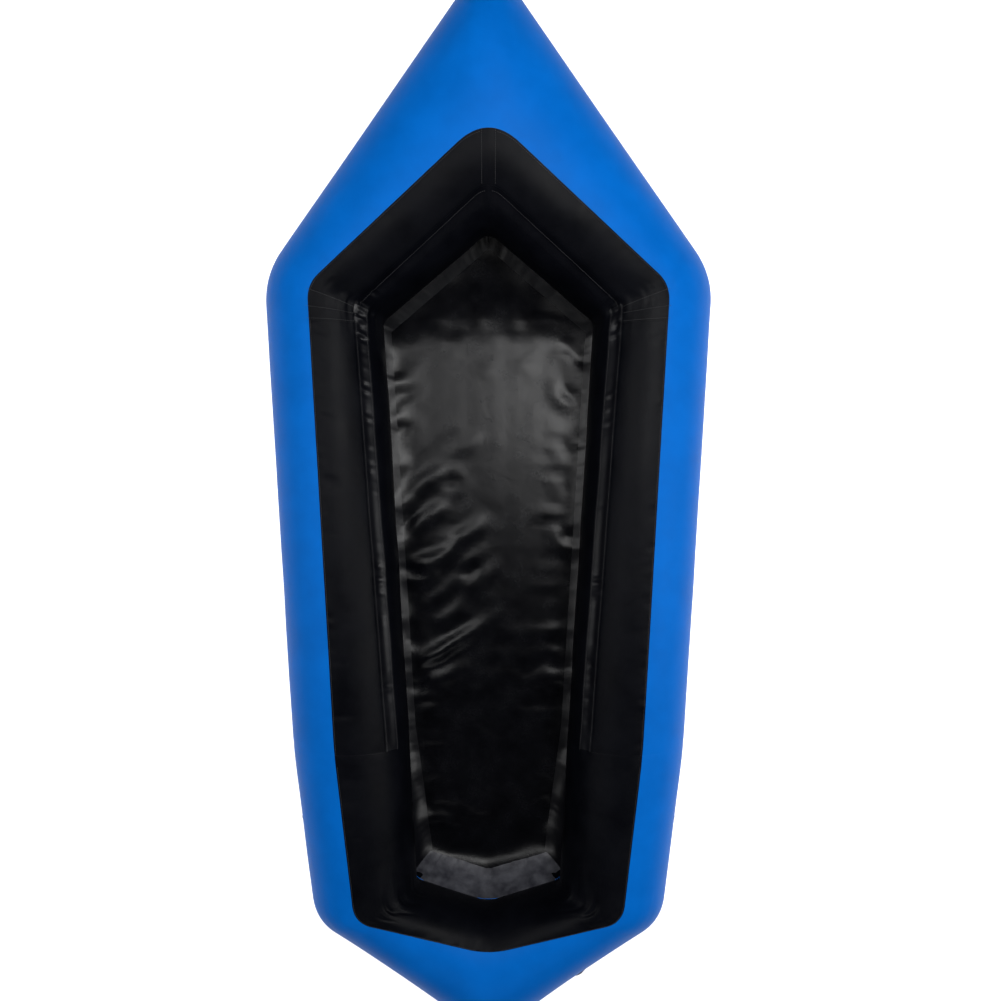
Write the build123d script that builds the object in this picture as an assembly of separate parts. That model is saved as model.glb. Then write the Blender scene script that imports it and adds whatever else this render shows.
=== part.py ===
from build123d import *
from dataclasses import dataclass
from math import cos, degrees, radians, sin, sqrt
import os

# One-person inflatable kayak of the packraft kind, bare hull, inflated and standing on its bottom.
#
# A closed ring of mitred fabric tube stands round a sheet floor. Ten flat planes, five on each side, cut the
# ring into its panels: each plane is a "station" that holds the tube's cross-section there, and each panel is the
# skin ruled straight from one station to the next. Blue panels cover the outside of the tube, black panels its
# inside, in an upper and a lower row with a taped seam between them.
#
# Frame: +Y to the bow, +X to starboard (right), +Z up, origin on the ground under the middle of the hull.
# Units are millimetres and degrees. Angles round the tube start at its innermost point and grow over the top:
# 0 faces the cockpit, 90 is the crest, 180 is the outermost point and 270 is the bottom.

# ---- Hull plan: where the tube's centre line turns, measured from the cockpit's reference line ----
bow_centre_y = 750.0
shoulder_x, shoulder_y = 355.0, 436.5
quarter_x, quarter_y = 297.0, -522.5
corner_x, corner_y = 263.0, -861.5
stern_centre_y = -995.0
shoulder_sweep = 20.0  # how far the mitre planes turn from athwartships
quarter_sweep = 0.0
corner_sweep = -15.0

# ---- Tube sections: half widths inwards and outwards, half height, height of the centre, upward tilt ----
side_radius = 125.0
shoulder_inner, shoulder_outer = 135.0, 138.0
bow_inner, bow_outer, bow_half_height = 200.0, 335.0, 128.0
bow_centre_z, bow_tilt = 225.0, 12.0
corner_half_width, corner_half_height, corner_centre_z = 113.0, 117.0, 140.0
stern_inner, stern_outer, stern_half_height = 125.0, 140.0, 115.0
stern_centre_z, stern_tilt = 140.0, 6.0
bow_strip_width = 30.0  # the straight strip that joins the two bow panels
stern_strip_width = 24.0

# ---- Seams, as angles round the tube at each station ----
colour_seam = {"bow": 93.0, "shoulder": 98.0, "quarter": 99.0, "corner": 96.0, "stern": 66.0}
middle_seam = {"bow": 54.0, "shoulder": 47.0, "quarter": 40.0}
floor_seam = {"bow": -38.0, "shoulder": -50.0, "quarter": -50.0, "corner": -35.0, "stern": -22.0}

# ---- Fabric and tape ----
skin = 1.0  # tube fabric, inside the nominal section
floor_thickness = 1.0
tape_thickness = 0.6
tape_gap = 0.4  # between a tape and the skin that it covers
seam_tape_width = 36.0
tape_run = 60.0  # about how far the side seam tape goes between two of its cross lines
floor_tape_width = 52.0
mitre_tape_width = 50.0
edge_gap = 0.3  # between soft pieces that meet at an edge
patch_thickness = 1.0

# ---- Floor: the flat part that lies on the ground ----
floor_flat_bow_y = 300.0
floor_flat_stern_y = -740.0
floor_margin = {"side": 70.0, "quarter": 80.0}  # from the floor seam to the flat part, halfway along a panel
floor_tape_start = 2.5  # from the floor seam

# ---- Lashing rings ----
ring_wire = 4.0
ring_inside_width = 26.0
ring_reach = 22.0  # from the bar's axis to the far side of the bow
ring_corner = 6.0
ring_patch_radius = 45.0
tab_width = 20.0
tab_thickness = 3.0
tab_height = 7.0  # from the skin to the bar's axis
tab_foot = 18.0
tab_foot_thickness = 1.2
bar_clearance = 0.3
side_ring_share = 0.49  # along the quarter panel
side_ring_turn = 0.5  # round the outer row, from the colour seam
bow_ring_turn = 0.25

# ---- Inflation valve, heights along its own axis: 0 is the skin, positive is outwards ----
valve_share = 0.5  # along the stern panel
valve_turn = 0.47  # round the outer row, from the colour seam
throat_radius, throat_length = 14.0, 10.0
bore_radius = 12.0
neck_radius = 17.0
neck_top, neck_bottom = 16.0, -17.0
flange_radius, flange_top = 25.0, 4.5
web_top, web_thickness = -4.0, 2.0
seat_radius = 8.0
hub_radius, spoke_width, spoke_count = 4.6, 2.4, 3
stem_radius, stem_clearance = 2.0, 0.2
button_radius, button_height, button_top = 5.5, 2.0, 5.0
poppet_radius, poppet_thickness, seal_thickness = 10.0, 1.8, 1.2
spring_radius, spring_wire, spring_turns = 3.4, 0.6, 4
nut_radius, nut_height, nut_top, nut_notches = 24.0, 6.0, -5.5, 8
valve_patch_radius = 38.0
thread_clearance = 0.05
valve_gap = 0.3  # between turning or soft pieces of the valve
cap_wall, cap_top_thickness, cap_skirt = 2.2, 2.4, 7.0
cap_lip = 0.9
cap_gasket_radius, cap_gasket_thickness = 15.0, 1.0  # the washer's hole, wider than the throat
cap_rib_count, cap_rib_radius = 12, 1.0
collar_radius, collar_thickness = 22.0, 2.0
link_wall, link_height = 1.8, 2.4
strap_width, strap_thickness, strap_reach = 7.0, 1.4, 40.0

spline_step = 15.0  # degrees between the points that a section's curve passes through


@dataclass(frozen=True)
class Station:
    """The tube's cross-section in one mitre plane."""

    centre: Vector
    outward: Vector  # unit vector from the cockpit to the outside, in the plane
    upward: Vector  # unit vector to the crest, in the plane
    inner: float
    outer: float
    half_height: float
    stretch: float  # how much wider the plane cuts a wall than its thickness
    name: str

    def point(self, angle, offset=0.0):
        """The point of the skin at that angle, moved off the nominal skin by offset."""
        turn = radians(angle)
        half_width = self.inner if cos(turn) > 0 else self.outer
        across = -(half_width + offset * self.stretch) * cos(turn)
        up = (self.half_height + offset) * sin(turn)
        return self.centre + self.outward * across + self.upward * up


def station(name, x, y, z, sweep, tilt, inner, outer, half_height, run):
    """A station whose plane stands upright along the outward direction; run is the panel's direction in plan."""
    flat = Vector(cos(radians(sweep)), sin(radians(sweep)), 0)
    up = Vector(0, 0, 1)
    outward = flat * cos(radians(tilt)) + up * sin(radians(tilt))
    upward = up * cos(radians(tilt)) - flat * sin(radians(tilt))
    along = flat.dot(Vector(*run, 0).normalized())
    return Station(Vector(x, y, z), outward, upward, inner, outer, half_height, 1 / sqrt(1 - along**2), name)


bow_run = (-shoulder_x, bow_centre_y - shoulder_y)
side_run = (shoulder_x - quarter_x, shoulder_y - quarter_y)
stern_run = (corner_x, corner_y - stern_centre_y)

hull_top_y = bow_centre_y + bow_outer * cos(radians(bow_tilt))
hull_end_y = stern_centre_y - stern_outer * cos(radians(stern_tilt))
middle_y = (hull_top_y + hull_end_y) / 2  # taken off every y, so that the origin is in the middle

STATIONS = {
    "bow": station(
        "bow", bow_strip_width / 2, bow_centre_y - middle_y, bow_centre_z, 90, bow_tilt,
        bow_inner, bow_outer, bow_half_height, bow_run,
    ),
    "shoulder": station(
        "shoulder", shoulder_x, shoulder_y - middle_y, side_radius, shoulder_sweep, 0,
        shoulder_inner, shoulder_outer, side_radius, side_run,
    ),
    "quarter": station(
        "quarter", quarter_x, quarter_y - middle_y, side_radius, quarter_sweep, 0,
        side_radius, side_radius, side_radius, side_run,
    ),
    "corner": station(
        "corner", corner_x, corner_y - middle_y, corner_centre_z, corner_sweep, 0,
        corner_half_width, corner_half_width, corner_half_height, stern_run,
    ),
    "stern": station(
        "stern", stern_strip_width / 2, stern_centre_y - middle_y, stern_centre_z, -90, stern_tilt,
        stern_inner, stern_outer, stern_half_height, stern_run,
    ),
}

def mirrored(s):
    """The same station on the port side."""
    centre, outward, upward = (Vector(-v.X, v.Y, v.Z) for v in (s.centre, s.outward, s.upward))
    return Station(centre, outward, upward, s.inner, s.outer, s.half_height, s.stretch, s.name)


def section_curve(s, start, end, offset):
    """A smooth curve along the skin of one station, from one angle to another."""
    count = max(2, round(abs(end - start) / spline_step)) + 1
    shares = [i / (count - 1) for i in range(count)]
    points = [s.point(start + (end - start) * share, offset) for share in shares]
    return Edge.make_spline(points, parameters=shares)


def strip_face(s, start, end, low, high):
    """The cut through a strip of skin or tape between two angles and two offsets."""
    outside = section_curve(s, start, end, high)
    inside = section_curve(s, end, start, low)
    closing = Edge.make_line(outside @ 1, inside @ 0)
    opening = Edge.make_line(inside @ 1, outside @ 0)
    return Face(Wire([outside, closing, inside, opening]))


def strip(first, last, start, end, low, high):
    """A strip ruled from one station to the next. start and end give an angle for each station's name."""
    faces = [strip_face(s, start[s.name], end[s.name], low, high) for s in (first, last)]
    return loft(faces, ruled=True)


def shifted(angles, by):
    """The same seam moved round the tube."""
    return {name: angle + by for name, angle in angles.items()}


def arc_share(width):
    """The angle that a width takes round the side tube."""
    return degrees(width / side_radius)


OUTER = {"outer": (colour_seam, shifted(floor_seam, 360))}
FORE_ROWS = OUTER | {"inner": (middle_seam, colour_seam), "lower": (floor_seam, middle_seam)}
AFT_ROWS = OUTER | {"inner": (floor_seam, colour_seam)}
ROWS = {
    "bow": FORE_ROWS, "side": FORE_ROWS, "quarter": AFT_ROWS, "stern": AFT_ROWS,
    "bow_strip": FORE_ROWS, "stern_strip": AFT_ROWS,
}
SPANS = {
    "bow": (STATIONS["bow"], STATIONS["shoulder"]),
    "side": (STATIONS["shoulder"], STATIONS["quarter"]),
    "quarter": (STATIONS["quarter"], STATIONS["corner"]),
    "stern": (STATIONS["corner"], STATIONS["stern"]),
    "bow_strip": (STATIONS["bow"], mirrored(STATIONS["bow"])),
    "stern_strip": (STATIONS["stern"], mirrored(STATIONS["stern"])),
}
PANELS = ("bow", "side", "quarter", "stern")


def wall(place, row, low, high):
    """The part of one panel's wall between two offsets from the skin."""
    return strip(*SPANS[place], *ROWS[place][row], low, high)


def tube_panels():
    """The blue outer row and the black inner rows, port and starboard. Abaft the quarter the inside is one row."""
    made = {}
    for place in PANELS:
        for row in ROWS[place]:
            right = wall(place, row, -skin, 0)
            made[f"{place}_{row}_right"] = right
            made[f"{place}_{row}_left"] = mirror(right, about=Plane.YZ)
    return made


def centre_strips():
    """The narrow straight strips that join port and starboard at the bow and at the stern."""
    return {f"{place}_{row}": wall(place, row, -skin, 0)
            for place in ("bow_strip", "stern_strip") for row in ROWS[place]}


def floor_seam_point(s):
    """Where the top of the floor meets the tube, in a station's plane."""
    return s.point(floor_seam[s.name], edge_gap)


def meeting(first, last):
    """The point at the floor's flat height where two sloping planes meet."""
    a, b = first.z_dir, last.z_dir
    a_side = a.dot(first.origin) - a.Z * floor_thickness
    b_side = b.dot(last.origin) - b.Z * floor_thickness
    size = a.X * b.Y - a.Y * b.X
    return Vector((a_side * b.Y - a.Y * b_side) / size, (a.X * b_side - a_side * b.X) / size, floor_thickness)


def border_plane(place, low_point=None):
    """The plane of the floor's sloping border under a panel: through both ends of the seam and a low point."""
    first, last = (floor_seam_point(s) for s in SPANS[place])
    if low_point is None:
        middle = (first + last) / 2
        inwards = (last - first).cross(Vector(0, 0, 1)).normalized()
        low_point = Vector(middle.X, middle.Y, floor_thickness) + inwards * floor_margin[place]
    return Plane(origin=first, z_dir=(last - first).cross(low_point - first))


def floor_corners():
    """The corners of the floor's flat part to starboard, by station."""
    bow_x, stern_x = (floor_seam_point(STATIONS[name]).X for name in ("bow", "stern"))
    bow = Vector(bow_x, floor_flat_bow_y - middle_y, floor_thickness)
    stern = Vector(stern_x, floor_flat_stern_y - middle_y, floor_thickness)
    planes = [border_plane("bow", bow), border_plane("side"), border_plane("quarter"), border_plane("stern", stern)]
    turns = [meeting(a, b) for a, b in zip(planes, planes[1:])]
    return dict(zip(STATIONS, [bow, *turns, stern]))


def to_port(point):
    return Vector(-point.X, point.Y, point.Z)


def sheet_floor():
    """The floor: a flat middle on the ground, with a flat-sided sloping border that rises to the tube all round."""
    corners = floor_corners()
    rim = [floor_seam_point(s) for s in STATIONS.values()]
    flat = [corners[name] for name in STATIONS]
    rim += [to_port(p) for p in reversed(rim)]
    flat += [to_port(p) for p in reversed(flat)]
    down = Vector(0, 0, -floor_thickness)
    faces = [Face(Wire.make_polygon(flat)), Face(Wire.make_polygon([p + down for p in flat]))]
    for i in range(len(rim)):
        n = (i + 1) % len(rim)
        faces.append(Face(Wire.make_polygon([rim[i], rim[n], flat[n], flat[i]])))
        faces.append(Face(Wire.make_polygon([p + down for p in (rim[i], rim[n], flat[n], flat[i])])))
        faces.append(Face(Wire.make_polygon([rim[i], rim[n], rim[n] + down, rim[i] + down])))
    return Solid(Shell(faces))


def between(first, last, share):
    """A station part of the way along a panel, on the panel's own straight lines."""
    def mix(a, b):
        return a + (b - a) * share

    return Station(
        mix(first.centre, last.centre), mix(first.outward, last.outward), mix(first.upward, last.upward),
        mix(first.inner, last.inner), mix(first.outer, last.outer), mix(first.half_height, last.half_height),
        mix(first.stretch, last.stretch), "between",
    )


def seam_tape(place):
    """A tape on the tube's skin along the middle seam, forward of the shoulder."""
    half = arc_share(seam_tape_width) / 2
    start, end = shifted(middle_seam, -half), shifted(middle_seam, half)
    return strip(*SPANS[place], start, end, tape_gap, tape_gap + tape_thickness)


def side_seam_tape():
    """The long tape from shoulder to quarter. The skin twists under it, so it is laid as two halves in short runs."""
    first, last = SPANS["side"]
    start, end = middle_seam[first.name], middle_seam[last.name]
    runs = max(1, round((last.centre - first.centre).length / tape_run))
    half = arc_share(seam_tape_width) / 2
    halves = []
    for low, high in ((-half, 0), (0, half)):
        faces = []
        for i in range(runs + 1):
            seam = start + (end - start) * i / runs
            place_there = between(first, last, i / runs)
            faces.append(strip_face(place_there, seam + low, seam + high, tape_gap, tape_gap + tape_thickness))
        halves.append(loft(faces, ruled=True))
    return (halves[0] + halves[1]).solid()


def floor_tape(place):
    """A tape on the floor's sloping border, along the tube."""
    corners = floor_corners()
    outside, inside = [], []
    for s in SPANS[place]:
        rim = floor_seam_point(s)
        corner = corners[s.name] if rim.X * corners[s.name].X > 0 else to_port(corners[s.name])
        inwards = (corner - rim).normalized()
        lift = Vector(0, 0, tape_gap)
        outside.append(rim + lift + inwards * floor_tape_start)
        inside.append(rim + lift + inwards * (floor_tape_start + floor_tape_width))
    outline = Wire.make_polygon([*outside, *reversed(inside)])
    return extrude(Face(outline), tape_thickness, dir=(0, 0, 1))


def both_sides(solid):
    return [solid, mirror(solid, about=Plane.YZ)]


def tapes():
    """The tapes that cover the seams inside the cockpit."""
    side_seam = side_seam_tape()
    floor_tapes = {place: floor_tape(place) for place in SPANS}
    sides = [floor_tapes["side"], floor_tapes["quarter"]]
    return {
        "bow_seam_tape": both_sides(seam_tape("bow")) + [seam_tape("bow_strip")],
        "side_seam_tape_right": [side_seam],
        "side_seam_tape_left": [mirror(side_seam, about=Plane.YZ)],
        "floor_tape_bow": both_sides(floor_tapes["bow"]) + [floor_tapes["bow_strip"]],
        "floor_tape_right": sides,
        "floor_tape_left": [mirror(tape, about=Plane.YZ) for tape in sides],
        "floor_tape_stern": both_sides(floor_tapes["stern"]) + [floor_tapes["stern_strip"]],
    }


def cross_tape(first, last, start, end, width):
    """A tape round the tube beside a station, on the panel that runs from it to the next one."""
    edge = between(first, last, width / (last.centre - first.centre).length)
    faces = [strip_face(s, start, end, tape_gap, tape_gap + tape_thickness) for s in (first, edge)]
    return loft(faces, ruled=True)


def cross_tapes():
    """The patches over the mitres: one at each shoulder, and a narrow one at each quarter."""
    shoulder, quarter, corner = (STATIONS[n] for n in ("shoulder", "quarter", "corner"))
    beside_seam = arc_share(seam_tape_width) / 2 + arc_share(tape_gap)
    patch = cross_tape(shoulder, quarter, middle_seam["shoulder"] + beside_seam,
                       colour_seam["shoulder"] - arc_share(tape_gap), mitre_tape_width)
    band = cross_tape(quarter, corner, middle_seam["quarter"] + beside_seam,
                      colour_seam["quarter"] - arc_share(tape_gap), mitre_tape_width / 2)
    return {
        "shoulder_patch_right": [patch],
        "shoulder_patch_left": [mirror(patch, about=Plane.YZ)],
        "quarter_tapes": both_sides(band),
    }


def skin_plane(place, along, turn):
    """A plane on the outer row of a panel, a share along it and round it: z points out of the tube, x along it."""
    first, last = SPANS[place]
    start, end = ROWS[place]["outer"]

    def on(s, share):
        return s.point(start[s.name] + (end[s.name] - start[s.name]) * share)

    def at(share):
        return on(first, share) * (1 - along) + on(last, share) * along

    forward = (on(last, turn) - on(first, turn)).normalized()
    normal = forward.cross(at(turn + 0.001) - at(turn - 0.001)).normalized()
    if normal.dot(on(first, turn) - first.centre) < 0:
        normal = -normal
    return Plane(origin=at(turn), x_dir=forward, z_dir=normal)


def round_patch(plane, walls, radius, hole=0.0):
    """A round patch of fabric cut out of the walls given, which follow the skin."""
    depth = radius * 2
    cutter = plane * Cylinder(radius, depth)
    if hole:
        cutter -= plane * Cylinder(hole, depth)
    whole = walls[0] if len(walls) == 1 else walls[0].fuse(*walls[1:])
    return (whole & cutter).solids().sort_by(lambda solid: (solid.center() - plane.origin).length)[0]


def lashing_ring(plane):
    """A wire D-ring in a plane, with its straight bar along the x axis and its bow towards y."""
    half = (ring_inside_width + ring_wire) / 2
    bar = half - ring_corner
    bow_y = ring_reach - half
    path = Wire([
        Edge.make_line((-bar, 0), (bar, 0)),
        Edge.make_circle(ring_corner, Plane((bar, ring_corner, 0)), 270, 360),
        Edge.make_line((half, ring_corner), (half, bow_y)),
        Edge.make_circle(half, Plane((0, bow_y, 0)), 0, 180),
        Edge.make_line((-half, bow_y), (-half, ring_corner)),
        Edge.make_circle(ring_corner, Plane((-bar, ring_corner, 0)), 180, 270),
    ])
    profile = Plane((0, 0, 0), z_dir=(1, 0, 0)) * Circle(ring_wire / 2)
    return plane * sweep(profile, path=path)


def ring_tab(plane):
    """The folded webbing tab on the patch, with an eye round the ring's bar."""
    hole = ring_wire / 2 + bar_clearance
    base = tape_gap + patch_thickness + edge_gap
    foot = Pos(0, base + tab_foot_thickness / 2) * Rectangle(tab_foot, tab_foot_thickness)
    stem = Pos(0, (base + tab_height) / 2) * Rectangle(tab_thickness, tab_height - base)
    eye = Pos(0, tab_height) * Circle(hole + tab_thickness / 2)
    outline = foot + stem + eye - Pos(0, tab_height) * Circle(hole)
    across = Plane(origin=plane.origin, x_dir=plane.y_dir, z_dir=plane.x_dir)
    return extrude(across * outline, tab_width / 2, both=True)


def ring_plane(plane, direction):
    """The plane that a ring lies in: its bar keeps the skin plane's x axis and its bow points in a direction."""
    bow = (direction - plane.x_dir * direction.dot(plane.x_dir)).normalized()
    return Plane(origin=plane.origin + plane.z_dir * tab_height, x_dir=plane.x_dir, z_dir=plane.x_dir.cross(bow))


def ring_places():
    """Where the two rings that are made sit: the skin's plane and the ring's own plane."""
    side = skin_plane("quarter", side_ring_share, side_ring_turn)
    nose = skin_plane("bow_strip", 0.5, bow_ring_turn)
    forward = nose.y_dir if nose.y_dir.Y > 0 else -nose.y_dir
    return {"right": (side, ring_plane(side, Vector(1, 0, 0))), "bow": (nose, ring_plane(nose, forward))}


def lashing_rings():
    """Three rings with their tabs and patches: one on each quarter and one on the bow's nose."""
    patch = (tape_gap, tape_gap + patch_thickness)
    walls = {
        "right": [wall("quarter", "outer", *patch)],
        "bow": both_sides(wall("bow", "outer", *patch)) + [wall("bow_strip", "outer", *patch)],
    }
    made = {}
    for name, (skin_side, ring_side) in ring_places().items():
        made[f"ring_patch_{name}"] = round_patch(skin_side, walls[name], ring_patch_radius)
        made[f"ring_tab_{name}"] = ring_tab(skin_side)
        made[f"ring_{name}"] = lashing_ring(ring_side)
    for piece in ("ring_patch", "ring_tab", "ring"):
        made[f"{piece}_left"] = mirror(made[f"{piece}_right"], about=Plane.YZ)
    return made


def disc(radius, low, high, hole=0.0):
    """A round slab on the valve's axis between two heights, with a round hole through it."""
    base = (Align.CENTER, Align.CENTER, Align.MIN)
    slab = Pos(0, 0, low) * Cylinder(radius, high - low, align=base)
    return slab - Pos(0, 0, low) * Cylinder(hole, high - low, align=base) if hole else slab


web_bottom = web_top - web_thickness
step = neck_top - throat_length
cap_under = neck_top + cap_gasket_thickness
cap_bottom = neck_top - cap_skirt
cap_radius = neck_radius + valve_gap + cap_wall
link_bottom = cap_bottom + cap_lip + valve_gap


def valve_plane():
    """The valve's seat on the starboard stern panel."""
    return skin_plane("stern", valve_share, valve_turn)


def valve_body(seat):
    """The neck with its throat, its outer flange, and the web that holds the valve seat and the stem's guide."""
    neck = disc(neck_radius, neck_bottom, neck_top) - disc(throat_radius, step, neck_top)
    neck -= disc(bore_radius, web_top, step)
    neck -= disc(bore_radius, neck_bottom, web_bottom)
    neck -= disc(seat_radius, web_bottom, web_top)
    guide = disc(hub_radius, web_bottom, web_top)
    spoke_length = seat_radius + (bore_radius - seat_radius) / 2
    for turn in range(spoke_count):
        spoke = Pos(spoke_length / 2, 0, web_top - web_thickness / 2) * Box(spoke_length, spoke_width, web_thickness)
        guide += Rot(0, 0, turn * 360 / spoke_count) * spoke
    guide -= disc(stem_radius + stem_clearance, web_bottom, web_top)
    flange = seat * disc(flange_radius, -flange_top, flange_top, neck_radius - valve_gap)
    flange -= wall("stern", "outer", -flange_radius, tape_gap + patch_thickness + edge_gap)
    return (seat * (neck + guide)).fuse(flange.solids().sort_by(Axis.Z)[-1])


def valve_nut():
    """The ring nut inside the tube, with notches for the fingers."""
    nut = disc(nut_radius, nut_top - nut_height, nut_top, neck_radius + thread_clearance)
    for turn in range(nut_notches):
        notch = Pos(nut_radius, 0, nut_top - nut_height / 2) * Cylinder(nut_height / 2, nut_height)
        nut -= Rot(0, 0, (turn + 0.5) * 360 / nut_notches) * notch
    return nut


def valve_gasket(seat):
    """The soft washer that fills the space between the flat nut and the curved skin."""
    washer = seat * disc(nut_radius, nut_top, 0, neck_radius + valve_gap)
    return (washer - wall("stern", "outer", -skin - edge_gap, nut_radius)).solids().sort_by(SortBy.VOLUME)[-1]


def valve_poppet():
    """The disc that closes the seat from inside, with the stem that the button sits on."""
    seal_bottom = web_bottom - seal_thickness
    plate = disc(poppet_radius, seal_bottom - poppet_thickness, seal_bottom)
    return plate + disc(stem_radius, seal_bottom, button_top - button_height / 2)


def valve_button():
    """The round button on the end of the stem."""
    bottom = button_top - button_height
    return disc(button_radius, bottom, button_top) - disc(stem_radius, bottom, bottom + button_height / 2)


def valve_spring():
    """The coil spring between the stem's guide and the button."""
    low = web_top + spring_wire
    height = button_top - button_height - spring_wire - low
    path = Pos(0, 0, low) * Edge.make_helix(height / spring_turns, height, spring_radius)
    return sweep(Plane(path @ 0, z_dir=path % 0) * Circle(spring_wire / 2), path=path, is_frenet=True)


def valve_cap():
    """The bayonet cap, with grip ribs and the lip that holds the strap's link."""
    cap = disc(cap_radius, cap_bottom, cap_under + cap_top_thickness)
    cap += disc(cap_radius + cap_lip, cap_bottom, cap_bottom + cap_lip)
    cap -= disc(neck_radius + valve_gap, cap_bottom, cap_under)
    low = link_bottom + link_height + valve_gap
    high = cap_under + cap_top_thickness
    for turn in range(cap_rib_count):
        rib = Pos(cap_radius, 0, (low + high) / 2) * Cylinder(cap_rib_radius, high - low)
        cap += Rot(0, 0, turn * 360 / cap_rib_count) * rib
    return cap


def cap_strap():
    """The strap from the collar to the link, folded back on itself in a hairpin."""
    low = flange_top + collar_thickness / 2
    high = link_bottom + link_height / 2
    bend = (high - low) / 2
    link_radius = cap_radius + valve_gap + link_wall

    def run(start, height):
        return Pos((start + strap_reach) / 2, height) * Rectangle(strap_reach - start, strap_thickness)

    ring = Circle(bend + strap_thickness / 2) - Circle(bend - strap_thickness / 2)
    half = Pos(strap_reach, low + bend) * (ring & (Pos(bend * 2, 0) * Rectangle(bend * 4, bend * 4)))
    outline = run(collar_radius + edge_gap, low) + run(link_radius + edge_gap, high) + half
    return extrude(Plane.XZ * outline, strap_width / 2, both=True)


def valve():
    """The inflation valve on the starboard stern panel, with its cap and strap."""
    seat = valve_plane()
    layer = [wall("stern", "outer", tape_gap, tape_gap + patch_thickness)]
    link_top = link_bottom + link_height
    on_axis = {
        "valve_nut": valve_nut(),
        "valve_poppet": valve_poppet(),
        "valve_seal": disc(poppet_radius, web_bottom - seal_thickness, web_bottom, stem_radius),
        "valve_button": valve_button(),
        "valve_spring": valve_spring(),
        "valve_cap": valve_cap(),
        "cap_gasket": disc(neck_radius, neck_top, cap_under, cap_gasket_radius),
        "strap_collar": disc(collar_radius, flange_top, flange_top + collar_thickness, neck_radius + valve_gap),
        "strap_link": disc(cap_radius + valve_gap + link_wall, link_bottom, link_top, cap_radius + valve_gap),
        "cap_strap": cap_strap(),
    }
    made = {name: seat * piece for name, piece in on_axis.items()}
    made["valve_patch"] = round_patch(seat, layer, valve_patch_radius, neck_radius + valve_gap)
    made["valve_body"] = valve_body(seat)
    made["valve_gasket"] = valve_gasket(seat)
    return made


def hull_nodes():
    """Every sub-part by name."""
    nodes = tube_panels() | centre_strips() | {"floor": sheet_floor()} | tapes() | cross_tapes()
    hole = valve_plane() * Cylinder(neck_radius + valve_gap, flange_radius * 2)
    nodes["stern_outer_right"] -= hole
    return nodes | lashing_rings() | valve()


if __name__ == "__main__":
    os.makedirs("parts", exist_ok=True)
    for name, shape in hull_nodes().items():
        solids = shape if isinstance(shape, list) else shape.solids()
        whole = solids[0] if len(solids) == 1 else Compound(solids)
        export_step(whole, f"parts/{name}.step")
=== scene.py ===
# %% [markdown]
# # A packraft
# This boat is one closed ring of air tube, sewn and welded out of flat fabric panels, round a single sheet of floor.
# Blue coated nylon covers the outside of the tube and black covers the cockpit. The file makes the looks of the boat
# round a frame that is already there: its rigid fittings come from the frame, and every piece of cloth is made here.

# %% Load the frame
import math
import bpy
import bmesh
import numpy as np
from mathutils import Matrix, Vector


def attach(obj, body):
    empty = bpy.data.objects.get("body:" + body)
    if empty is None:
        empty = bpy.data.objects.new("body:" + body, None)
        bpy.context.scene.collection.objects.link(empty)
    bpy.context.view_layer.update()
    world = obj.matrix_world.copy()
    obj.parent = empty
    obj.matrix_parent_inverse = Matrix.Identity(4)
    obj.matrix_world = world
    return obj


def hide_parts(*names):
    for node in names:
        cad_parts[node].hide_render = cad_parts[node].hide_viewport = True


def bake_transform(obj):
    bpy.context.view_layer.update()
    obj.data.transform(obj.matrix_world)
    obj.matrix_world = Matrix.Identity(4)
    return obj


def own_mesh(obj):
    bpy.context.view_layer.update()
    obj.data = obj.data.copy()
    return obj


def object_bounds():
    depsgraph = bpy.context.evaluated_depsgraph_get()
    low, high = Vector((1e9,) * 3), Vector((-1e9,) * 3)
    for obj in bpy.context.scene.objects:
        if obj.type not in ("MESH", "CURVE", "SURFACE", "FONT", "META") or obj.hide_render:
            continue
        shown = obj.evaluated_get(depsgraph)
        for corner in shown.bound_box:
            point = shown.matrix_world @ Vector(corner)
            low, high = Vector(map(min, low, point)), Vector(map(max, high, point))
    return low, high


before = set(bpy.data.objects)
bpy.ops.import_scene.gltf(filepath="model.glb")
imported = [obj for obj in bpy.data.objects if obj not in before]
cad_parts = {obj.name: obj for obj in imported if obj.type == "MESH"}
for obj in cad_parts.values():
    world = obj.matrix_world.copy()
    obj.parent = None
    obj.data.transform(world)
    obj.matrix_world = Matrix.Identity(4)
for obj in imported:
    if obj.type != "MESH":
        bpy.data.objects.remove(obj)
cad_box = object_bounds()
boat_low, boat_high = (np.array(corner) for corner in cad_box)
print("the boat is", np.round(boat_high - boat_low, 3), "m")

# %% [markdown]
# The view is straight down from a little over two metres, with a plain normal lens. The boat sits slightly left of
# the middle, so the lens is shifted by about a hundredth of the picture's width instead of turning the camera.

# %% Camera
camera_height = 2.302
camera = bpy.data.objects.new("camera", bpy.data.cameras.new("camera"))
camera.data.lens = 36.0
camera.data.sensor_width = 36.0
camera.data.shift_x = 0.0115
camera.location = (0.0, 0.028, camera_height)
bpy.context.collection.objects.link(camera)
bpy.context.scene.camera = camera
bpy.context.scene.view_settings.view_transform = "Standard"
print("the camera looks down from", camera_height, "m")

# %% [markdown]
# ## The tube's shape
# The tube turns at five planes on each side: bow, shoulder, quarter, corner and stern. In each plane its section is
# an oval, and a panel is the skin that runs straight from one oval to the next. An angle of 0 round the section faces
# the cockpit, 90 is the top, 180 is the outside. Only this handful of sizes is needed to work out any point of it.

# %% The five planes
bow_y, bow_outer, bow_tilt = 0.750, 0.335, 12.0
stern_y, stern_outer, stern_tilt = -0.995, 0.140, 6.0
hull_front = bow_y + bow_outer * math.cos(math.radians(bow_tilt))
hull_back = stern_y - stern_outer * math.cos(math.radians(stern_tilt))
middle_y = (hull_front + hull_back) / 2
strip_half = {"bow": 0.015, "stern": 0.012}


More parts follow.
